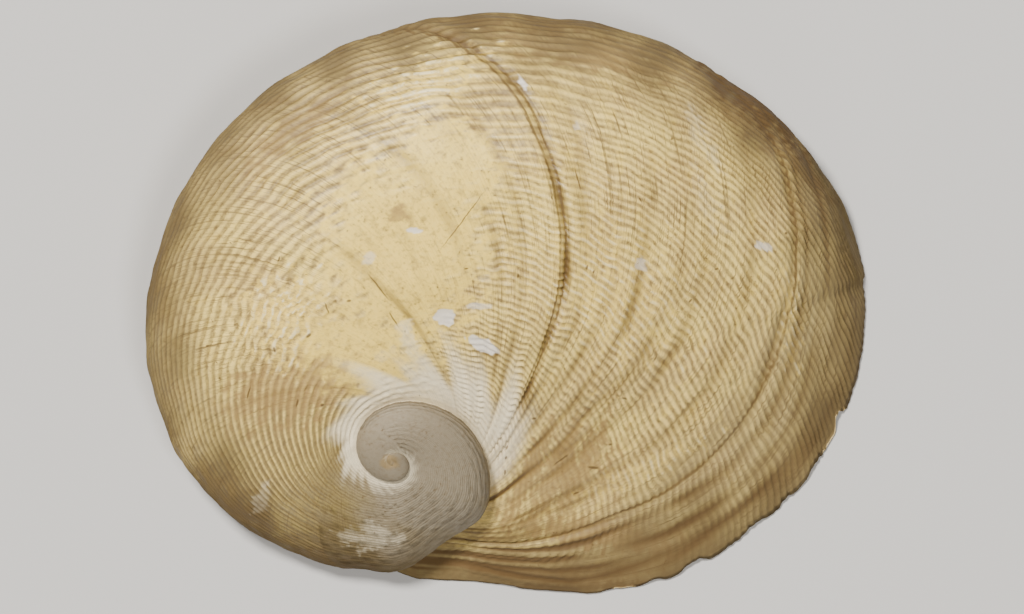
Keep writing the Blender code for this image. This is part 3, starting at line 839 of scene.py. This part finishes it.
def shellMaterial():
    # colour, roughness and bump: the paint masks and noise, mixed in layers from the ground colour up
    material = bpy.data.materials.new("shell")
    material.use_nodes = True
    tree = material.node_tree
    tree.nodes.clear()
    link = tree.links.new

    def node(kind, **settings):
        # new shader node with its settings
        made = tree.nodes.new("ShaderNode" + kind)
        for name, value in settings.items():
            setattr(made, name, value)
        return made

    def feed(socket, value):
        # link from another node, or a constant
        if isinstance(value, bpy.types.NodeSocket):
            link(value, socket)
        elif value is not None:
            socket.default_value = value

    def math2(operation, a, b=None, c=None, clamp=False):
        # one operation on up to three inputs
        made = node("Math", operation=operation, use_clamp=clamp)
        for socket, value in zip(made.inputs, (a, b, c)):
            feed(socket, value)
        return made.outputs[0]

    def mixed(factor, a, b, blend="MIX"):
        # the first colour at factor 0, the second at 1
        made = node("Mix", data_type="RGBA", blend_type=blend)
        feed(made.inputs[0], factor)
        for socket, value in ((made.inputs[6], a), (made.inputs[7], b)):
            feed(socket, (*value, 1) if isinstance(value, tuple) else value)
        return made.outputs[2]

    def ramp(value, low, high, toLow=0.0, toHigh=1.0):
        # smooth step between two values, stretched to another two
        made = node("MapRange", interpolation_type="SMOOTHSTEP")
        for socket, x in zip(made.inputs, (value, low, high, toLow, toHigh)):
            feed(socket, x)
        return made.outputs[0]

    def mask(name):
        # one of the mesh's paint masks
        return node("Attribute", attribute_name=name).outputs["Fac"]

    def noise(vector, scale, detail=4.0, roughness=0.55, stretch3=(1, 1, 1)):
        # fractal noise, about 0 to 1, with the vector scaled along each axis first
        made = node("TexNoise", noise_dimensions="3D")
        if stretch3 != (1, 1, 1):
            mapping = node("Mapping")
            link(vector, mapping.inputs[0])
            mapping.inputs["Scale"].default_value = stretch3
            vector = mapping.outputs[0]
        link(vector, made.inputs["Vector"])
        made.inputs["Scale"].default_value = scale
        made.inputs["Detail"].default_value = detail
        made.inputs["Roughness"].default_value = roughness
        return made.outputs["Fac"]

    def fleck(vector, x, y, length, width, turn):
        # 1 inside a thin oval over the pixel, whatever the height
        mapping = node("Mapping", vector_type="TEXTURE")
        cx, cy = pixelPlan(x, y)
        mapping.inputs["Location"].default_value = (cx * mm, cy * mm, 0)
        mapping.inputs["Rotation"].default_value = (0, 0, math.radians(turn))
        size = photo["mmPerPixel"] * mm
        mapping.inputs["Scale"].default_value = (length * size, width * size, 100)
        link(vector, mapping.inputs[0])
        away = node("VectorMath", operation="LENGTH")
        link(mapping.outputs[0], away.inputs[0])
        return ramp(away.outputs["Value"], 1.25, 0.6)

    own = node("TexCoord").outputs["Object"]
    grow = node("UVMap", uv_map="growth").outputs[0]
    along = node("SeparateXYZ")
    link(grow, along.inputs[0])
    u, v = along.outputs[0], along.outputs[1]

    ridge, stainAndShade, worn, chip = mask("ridge"), mask("stainAndShade"), mask("worn"), mask("chip")
    chalk, tan, paintedEdgeShade, old, spire = mask("chalk"), mask("tan"), mask("paintedEdgeShade"), mask("old"), mask("spire")
    nucleus, paintedHighlight, fresh = mask("nucleus"), mask("paintedHighlight"), mask("fresh")
    inside, deep = mask("inside"), mask("deep")

    blotch = noise(own, 260, 5, 0.6)
    fine = noise(own, 1500, 5, 0.65)
    specks = noise(own, 4200, 3, 0.6)
    streak = noise(grow, 1.0, 5, 0.65, (0.10, 1.1, 1))
    fineStreak = noise(grow, 1.0, 4, 0.6, (0.35, 4.0, 1))
    haloStreak = noise(grow, 1.0, 4, 0.6, (0.06, 1.6, 1))
    weave = noise(grow, 1.0, 4, 0.65, (1.6, 0.9, 1))

    turns = math2("MULTIPLY", u, 1.35)
    turns = math2("ADD", turns, math2("MULTIPLY", noise(grow, 1.0, 2, 0.5, (0.5, 0.12, 1)), 0.9))
    thread = math2("COSINE", math2("MULTIPLY", turns, 2 * math.pi))
    oldest = ramp(v, -stretch + 42, -stretch + 4)
    thread = math2("MULTIPLY", thread, oldest)

    colour = mixed(ramp(blotch, 0.35, 0.68), paint["cream"], paint["creamPale"])
    colour = mixed(worn, colour, paint["wornAndHighlightCream"])
    cells = math2("MULTIPLY", ramp(weave, 0.50, 0.68, 0.0, 0.55), ramp(worn, 0.2, 0.9, 1.0, 0.2))
    colour = mixed(cells, colour, paint["creamPale"])
    blocks = noise(grow, 1.0, 2, 0.7, (0.55, 0.42, 1))
    colour = mixed(ramp(blocks, 0.54, 0.66, 0.0, 0.50), colour, paint["wornAndHighlightCream"])
    colour = mixed(ramp(blocks, 0.45, 0.30, 0.0, 0.30), colour, paint["groove"])
    colour = mixed(ramp(fine, 0.48, 0.75, 0.0, 0.45), colour, paint["groove"])
    colour = mixed(ramp(specks, 0.50, 0.72, 0.0, 0.40), colour, paint["groove"])
    colour = mixed(ramp(specks, 0.48, 0.30, 0.0, 0.40), colour, paint["creamPale"])
    colour = mixed(math2("MULTIPLY", fresh, 0.62), colour, paint["fresh"])
    colour = mixed(math2("MULTIPLY", old, 0.75), colour, paint["olive"])
    # the grooves between ridges darkened: partly their own darker colour, partly painted shade in the recesses
    valley = ramp(math2("ADD", ridge, thread), 0.30, -0.65, 0.0, 0.95)
    valley = math2("MULTIPLY", valley, ramp(worn, 0.1, 0.9, 1.0, 0.15))
    valley = math2("MULTIPLY", valley, ramp(weave, 0.25, 0.60, 1.0, 0.45))
    # grooves left less dark under the painted highlights
    valley = math2("MULTIPLY", valley, ramp(paintedHighlight, 0.0, 1.0, 0.95, 0.6))
    valley = math2("MULTIPLY", valley, ramp(fresh, 0.0, 1.0, 1.0, 0.6))
    colour = mixed(valley, colour, paint["groove"])
    # ridge crests lightened: partly their paler colour, partly a painted highlight
    crest = math2("MULTIPLY", ramp(ridge, 0.0, 0.85, 0.0, 0.75), ramp(weave, 0.30, 0.55, 0.35, 1.0))
    colour = mixed(math2("MULTIPLY", crest, ramp(fresh, 0.0, 1.0, 1.0, 0.45)), colour, paint["crest"])
    lines = math2("MULTIPLY", ramp(streak, 0.54, 0.68, 0.0, 0.80), ramp(worn, 0.2, 0.9, 1.0, 0.25))
    colour = mixed(lines, colour, paint["groove"])
    lines = math2("MULTIPLY", ramp(fineStreak, 0.54, 0.66, 0.0, 0.85), ramp(worn, 0.2, 0.9, 1.0, 0.2))
    colour = mixed(lines, colour, paint["groove"])
    # tan: partly stain, partly painted shade at the outline
    colour = mixed(math2("MULTIPLY", tan, ramp(blotch, 0.3, 0.7, 0.45, 0.85)), colour, paint["tan"])
    # painted shade along the outline and the low edge
    colour = mixed(math2("MULTIPLY", paintedEdgeShade, ramp(blotch, 0.3, 0.7, 0.85, 1.0)), colour, paint["paintedEdgeShade"])
    # painted highlight: the highlight patches lightened to a pale cream, with painted glints on the ridge
    # crests
    colour = mixed(math2("MULTIPLY", paintedHighlight, ramp(weave, 0.38, 0.60, 0.15, 0.85)), colour, paint["wornAndHighlightCream"])
    glint = math2("MULTIPLY", ramp(ridge, 0.0, 0.8), ramp(fine, 0.42, 0.58))
    colour = mixed(math2("MULTIPLY", math2("MULTIPLY", paintedHighlight, glint), 0.8, clamp=True), colour, paint["glint"])
    grey = mixed(ramp(specks, 0.45, 0.7, 0.0, 0.35), paint["spireGrey"], paint["groove"])
    # the spire's grooves darkened the same way, partly painted shade
    grey = mixed(math2("MULTIPLY", valley, 0.30), grey, paint["groove"])
    colour = mixed(spire, colour, grey)
    colour = mixed(math2("MULTIPLY", nucleus, 0.50), colour, paint["nucleus"])
    ragged = math2("MULTIPLY", math2("SUBTRACT", haloStreak, 0.5), 0.45)
    ragged = math2("MULTIPLY", ragged, ramp(v, -175.0, -115.0, 0.1, 1.0))
    ragged = math2("ADD", ragged, math2("MULTIPLY", math2("ADD", ridge, thread), 0.10))
    ragged = math2("ADD", ragged, math2("MULTIPLY", math2("SUBTRACT", fine, 0.5), 0.28))
    ragged = math2("ADD", ragged, math2("MULTIPLY", math2("SUBTRACT", specks, 0.5), 0.30))
    chalkEdge = ramp(math2("ADD", chalk, ragged), 0.08, 1.02)
    chalkDeep = ramp(math2("ADD", fineStreak, math2("MULTIPLY", blotch, 0.6)), 0.95, 0.62, 0.55, 0.92)
    colour = mixed(math2("MULTIPLY", chalkEdge, chalkDeep), colour, paint["chalk"])
    # browning by the stain mask: real stains, and the painted shade of the brown patches
    stainAndShadeMix = math2("MULTIPLY", math2("MULTIPLY", stainAndShade, 0.72, clamp=True), ramp(chalk, 0.15, 0.65, 1.0, 0.3))
    colour = mixed(stainAndShadeMix, colour, paint["brown"])
    sway = math2("SUBTRACT", noise(grow, 1.0, 3, 0.6, (0.15, 0.05, 1)), 0.5)
    nearly = math2("ADD", v, math2("MULTIPLY", sway, 2.2))
    for at in relief["darkCores"]:
        gap = math2("ABSOLUTE", math2("SUBTRACT", nearly, at))
        core = math2("MULTIPLY", ramp(gap, 0.42, 0.10), ramp(fine, 0.30, 0.55, 0.3, 0.8))
        colour = mixed(math2("MULTIPLY", core, ramp(chalk, 0.1, 0.6, 1.0, 0.25)), colour, paint["brown"])
    colour = mixed(ramp(chip, 0.22, 0.80, 0.0, 0.85), colour, paint["chip"])
    dots = math2("MULTIPLY", ramp(specks, 0.66, 0.72), ramp(blotch, 0.45, 0.6))
    colour = mixed(math2("MULTIPLY", dots, 0.75), colour, paint["brown"])
    shake = node("TexNoise")
    link(own, shake.inputs["Vector"])
    shake.inputs["Scale"].default_value = surface["markShakeScale"]
    shaken = node("VectorMath", operation="MULTIPLY_ADD")
    link(shake.outputs["Color"], shaken.inputs[0])
    shaken.inputs[1].default_value = (surface["markShake"], surface["markShake"], 0)
    link(own, shaken.inputs[2])
    found = 0.0
    for mark in marks:
        found = math2("MAXIMUM", found, fleck(shaken.outputs[0], *mark))
    colour = mixed(math2("MULTIPLY", found, surface["markStrength"]), colour, paint["mark"])
    lining = mixed(deep, paint["inside"], paint["insideDeep"])
    lining = mixed(ramp(fine, 0.4, 0.8, 0.0, 0.25), lining, paint["chalk"])
    colour = mixed(ramp(inside, 0.4, 0.8), colour, lining)

    rough = math2("ADD", 0.20, math2("MULTIPLY", fine, 0.28))
    rough = math2("SUBTRACT", rough, math2("MULTIPLY", paintedHighlight, 0.09))
    rough = math2("ADD", rough, math2("MULTIPLY", paintedEdgeShade, 0.42))
    rough = math2("ADD", rough, math2("MULTIPLY", chalkEdge, 0.25))
    rough = math2("ADD", rough, math2("MULTIPLY", spire, 0.14))
    rough = math2("ADD", rough, math2("MULTIPLY", fresh, 0.16))
    rough = math2("MULTIPLY", rough, ramp(inside, 0.4, 0.9, 1.0, 0.5))

    height = math2("MULTIPLY", fineStreak, 0.5)
    height = math2("ADD", height, math2("MULTIPLY", specks, 0.25))
    height = math2("ADD", height, math2("MULTIPLY", weave, 0.35))
    height = math2("ADD", height, math2("MULTIPLY", thread, 0.16))
    height = math2("MULTIPLY", height, ramp(inside, 0.4, 0.8, 1.0, 0.08))
    bump = node("Bump")
    bump.inputs["Distance"].default_value = surface["bumpDepth"]
    bump.inputs["Strength"].default_value = surface["bumpStrength"]
    link(height, bump.inputs["Height"])

    shader = node("BsdfPrincipled")
    link(colour, shader.inputs["Base Color"])
    link(rough, shader.inputs["Roughness"])
    link(bump.outputs[0], shader.inputs["Normal"])
    shader.inputs["Specular IOR Level"].default_value = surface["specular"]
    out = node("OutputMaterial")
    link(shader.outputs[0], out.inputs[0])
    return material


def plainMaterial(name, colour, roughness):
    # one flat colour
    material = bpy.data.materials.new(name)
    material.use_nodes = True
    shader = material.node_tree.nodes["Principled BSDF"]
    shader.inputs["Base Color"].default_value = (*colour, 1)
    shader.inputs["Roughness"].default_value = roughness
    return material


shape = Shape()
buildHollow(shape, *buildOutside(shape))
shellMesh = meshFrom(shape, "moonSnailShell")
shellMesh.materials.append(shellMaterial())
shell = bpy.data.objects.new("moonSnailShell", shellMesh)
bpy.context.scene.collection.objects.link(shell)
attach(shell, "root")
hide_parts("moon_snail_shell")
print("shell placed")

studio = {
    "floor": (0.53, 0.52, 0.505),
    "floorRoughness": 0.8,
    "floorReach": 1.5,  # m from the middle to each edge
    "distance": 1.0,
    "aimHeight": 0.004,  # m, the level at which the view is as wide as the photo
    "lights": (  # name, position m, size m, power W, colour
        ("key", (-0.16, 0.19, 0.66), 0.12, 7.8, (1.0, 0.97, 0.92)),
        ("top", (0.08, -0.08, 0.80), 0.14, 3.4, (1.0, 0.98, 0.95)),
        ("front", (-0.05, -0.45, 0.50), 0.30, 0.4, (1.0, 0.98, 0.95)),
    ),
    "world": 0.10,
}

floorMesh = bpy.data.meshes.new("floor")
reach = studio["floorReach"]
floorMesh.from_pydata(
    [(-reach, -reach, 0), (reach, -reach, 0), (reach, reach, 0), (-reach, reach, 0)], [], [(0, 1, 2, 3)])
floorMesh.materials.append(plainMaterial("paleFloor", studio["floor"], studio["floorRoughness"]))
floor = bpy.data.objects.new("floor", floorMesh)
bpy.context.scene.collection.objects.link(floor)

for name, at, size, power, colour in studio["lights"]:
    lamp = bpy.data.lights.new(name, "AREA")
    lamp.shape, lamp.size, lamp.energy, lamp.color = "DISK", size, power, colour
    holder = bpy.data.objects.new(name, lamp)
    holder.location = at
    bpy.context.scene.collection.objects.link(holder)
    away = np.array(at) / np.linalg.norm(at)
    holder.rotation_euler = (math.acos(away[2]), 0, math.atan2(away[0], -away[1]))

world = bpy.data.worlds.new("studio")
world.use_nodes = True
world.node_tree.nodes["Background"].inputs[0].default_value = (1, 1, 1, 1)
world.node_tree.nodes["Background"].inputs[1].default_value = studio["world"]
bpy.context.scene.world = world

cameraData = bpy.data.cameras.new("camera")
fieldWidth = photo["width"] * photo["mmPerPixel"] * mm
cameraData.lens = cameraData.sensor_width * studio["distance"] / fieldWidth
camera = bpy.data.objects.new("camera", cameraData)
middle = pixelPlan(*photo["middle"])
camera.location = (middle[0] * mm, middle[1] * mm, studio["distance"] + studio["aimHeight"])
bpy.context.scene.collection.objects.link(camera)
bpy.context.scene.camera = camera
print("studio ready")
